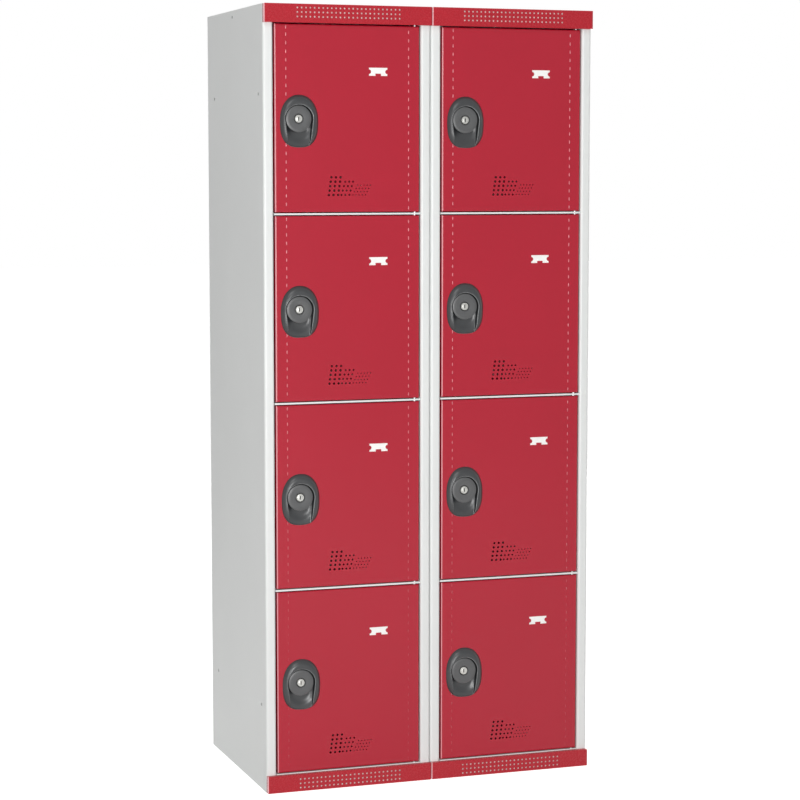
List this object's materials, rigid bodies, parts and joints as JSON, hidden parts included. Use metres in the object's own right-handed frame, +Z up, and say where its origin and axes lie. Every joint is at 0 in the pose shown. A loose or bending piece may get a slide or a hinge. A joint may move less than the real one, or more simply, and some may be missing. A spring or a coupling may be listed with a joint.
{
  "type": "multi-compartment locker",
  "caption": "Steel locker of paired columns with stacked square compartments, each with a hinged red door, an oval pull handle with a key lock, a name-card window and vent holes.",
  "frame": {"origin": "on the floor, in the middle of the width and depth", "axes": "+Z up, +X to the right seen from the front, the doors face -Y"},
  "size_m": [0.8, 0.5, 1.8],
  "materials": {
    "grey_paint": "light grey powder coat, satin",
    "red_paint": "red powder coat, satin",
    "handle_plastic": "moulded, fine grain",
    "lock_metal": "nickel plated, satin",
    "zinc_steel": "zinc plated",
    "card": "plain white card"
  },
  "bodies": {
    "carcass": {"left_side_panel_a": "grey_paint", "right_side_panel_a": "grey_paint", "back_panel_a": "grey_paint", "roof_panel_a": "grey_paint", "floor_panel_a": "grey_paint", "shelves_a": "grey_paint", "top_band_a": "red_paint", "base_band_a": "red_paint", "left_side_panel_b": "grey_paint", "right_side_panel_b": "grey_paint", "back_panel_b": "grey_paint", "roof_panel_b": "grey_paint", "floor_panel_b": "grey_paint", "shelves_b": "grey_paint", "top_band_b": "red_paint", "base_band_b": "red_paint", "hinge_pins": "zinc_steel", "joining_bolts": "zinc_steel", "joining_nuts": "zinc_steel", "joining_spacers": "zinc_steel"},
    "door_a1": {"door_panel_a1": "red_paint", "door_stiffeners_a1": "red_paint", "lock_handle_a1": "handle_plastic", "name_card_a1": "card"},
    "door_a2": {"door_panel_a2": "red_paint", "door_stiffeners_a2": "red_paint", "lock_handle_a2": "handle_plastic", "name_card_a2": "card"},
    "door_a3": {"door_panel_a3": "red_paint", "door_stiffeners_a3": "red_paint", "lock_handle_a3": "handle_plastic", "name_card_a3": "card"},
    "door_a4": {"door_panel_a4": "red_paint", "door_stiffeners_a4": "red_paint", "lock_handle_a4": "handle_plastic", "name_card_a4": "card"},
    "door_b1": {"door_panel_b1": "red_paint", "door_stiffeners_b1": "red_paint", "lock_handle_b1": "handle_plastic", "name_card_b1": "card"},
    "door_b2": {"door_panel_b2": "red_paint", "door_stiffeners_b2": "red_paint", "lock_handle_b2": "handle_plastic", "name_card_b2": "card"},
    "door_b3": {"door_panel_b3": "red_paint", "door_stiffeners_b3": "red_paint", "lock_handle_b3": "handle_plastic", "name_card_b3": "card"},
    "door_b4": {"door_panel_b4": "red_paint", "door_stiffeners_b4": "red_paint", "lock_handle_b4": "handle_plastic", "name_card_b4": "card"},
    "lock_a1": {"lock_barrel_a1": "lock_metal"},
    "lock_a2": {"lock_barrel_a2": "lock_metal"},
    "lock_a3": {"lock_barrel_a3": "lock_metal"},
    "lock_a4": {"lock_barrel_a4": "lock_metal"},
    "lock_b1": {"lock_barrel_b1": "lock_metal"},
    "lock_b2": {"lock_barrel_b2": "lock_metal"},
    "lock_b3": {"lock_barrel_b3": "lock_metal"},
    "lock_b4": {"lock_barrel_b4": "lock_metal"}
  },
  "joints": [
    {"name": "door_a1_hinge", "type": "hinge", "parent": "carcass", "child": "door_a1", "pos_m": [-0.03775, -0.234, 1.545], "axis": [0, 0, 1], "range_deg": [0, 110]},
    {"name": "door_a2_hinge", "type": "hinge", "parent": "carcass", "child": "door_a2", "pos_m": [-0.03775, -0.234, 1.115], "axis": [0, 0, 1], "range_deg": [0, 110]},
    {"name": "door_a3_hinge", "type": "hinge", "parent": "carcass", "child": "door_a3", "pos_m": [-0.03775, -0.234, 0.685], "axis": [0, 0, 1], "range_deg": [0, 110]},
    {"name": "door_a4_hinge", "type": "hinge", "parent": "carcass", "child": "door_a4", "pos_m": [-0.03775, -0.234, 0.255], "axis": [0, 0, 1], "range_deg": [0, 110]},
    {"name": "door_b1_hinge", "type": "hinge", "parent": "carcass", "child": "door_b1", "pos_m": [0.36275, -0.234, 1.545], "axis": [0, 0, 1], "range_deg": [0, 110]},
    {"name": "door_b2_hinge", "type": "hinge", "parent": "carcass", "child": "door_b2", "pos_m": [0.36275, -0.234, 1.115], "axis": [0, 0, 1], "range_deg": [0, 110]},
    {"name": "door_b3_hinge", "type": "hinge", "parent": "carcass", "child": "door_b3", "pos_m": [0.36275, -0.234, 0.685], "axis": [0, 0, 1], "range_deg": [0, 110]},
    {"name": "door_b4_hinge", "type": "hinge", "parent": "carcass", "child": "door_b4", "pos_m": [0.36275, -0.234, 0.255], "axis": [0, 0, 1], "range_deg": [0, 110]},
    {"name": "lock_a1_turn", "type": "hinge", "parent": "door_a1", "child": "lock_a1", "pos_m": [-0.31875, -0.24, 1.544], "axis": [0, 1, 0], "range_deg": [0, 90]},
    {"name": "lock_a2_turn", "type": "hinge", "parent": "door_a2", "child": "lock_a2", "pos_m": [-0.31875, -0.24, 1.114], "axis": [0, 1, 0], "range_deg": [0, 90]},
    {"name": "lock_a3_turn", "type": "hinge", "parent": "door_a3", "child": "lock_a3", "pos_m": [-0.31875, -0.24, 0.684], "axis": [0, 1, 0], "range_deg": [0, 90]},
    {"name": "lock_a4_turn", "type": "hinge", "parent": "door_a4", "child": "lock_a4", "pos_m": [-0.31875, -0.24, 0.254], "axis": [0, 1, 0], "range_deg": [0, 90]},
    {"name": "lock_b1_turn", "type": "hinge", "parent": "door_b1", "child": "lock_b1", "pos_m": [0.08175, -0.24, 1.544], "axis": [0, 1, 0], "range_deg": [0, 90]},
    {"name": "lock_b2_turn", "type": "hinge", "parent": "door_b2", "child": "lock_b2", "pos_m": [0.08175, -0.24, 1.114], "axis": [0, 1, 0], "range_deg": [0, 90]},
    {"name": "lock_b3_turn", "type": "hinge", "parent": "door_b3", "child": "lock_b3", "pos_m": [0.08175, -0.24, 0.684], "axis": [0, 1, 0], "range_deg": [0, 90]},
    {"name": "lock_b4_turn", "type": "hinge", "parent": "door_b4", "child": "lock_b4", "pos_m": [0.08175, -0.24, 0.254], "axis": [0, 1, 0], "range_deg": [0, 90]}
  ]
}
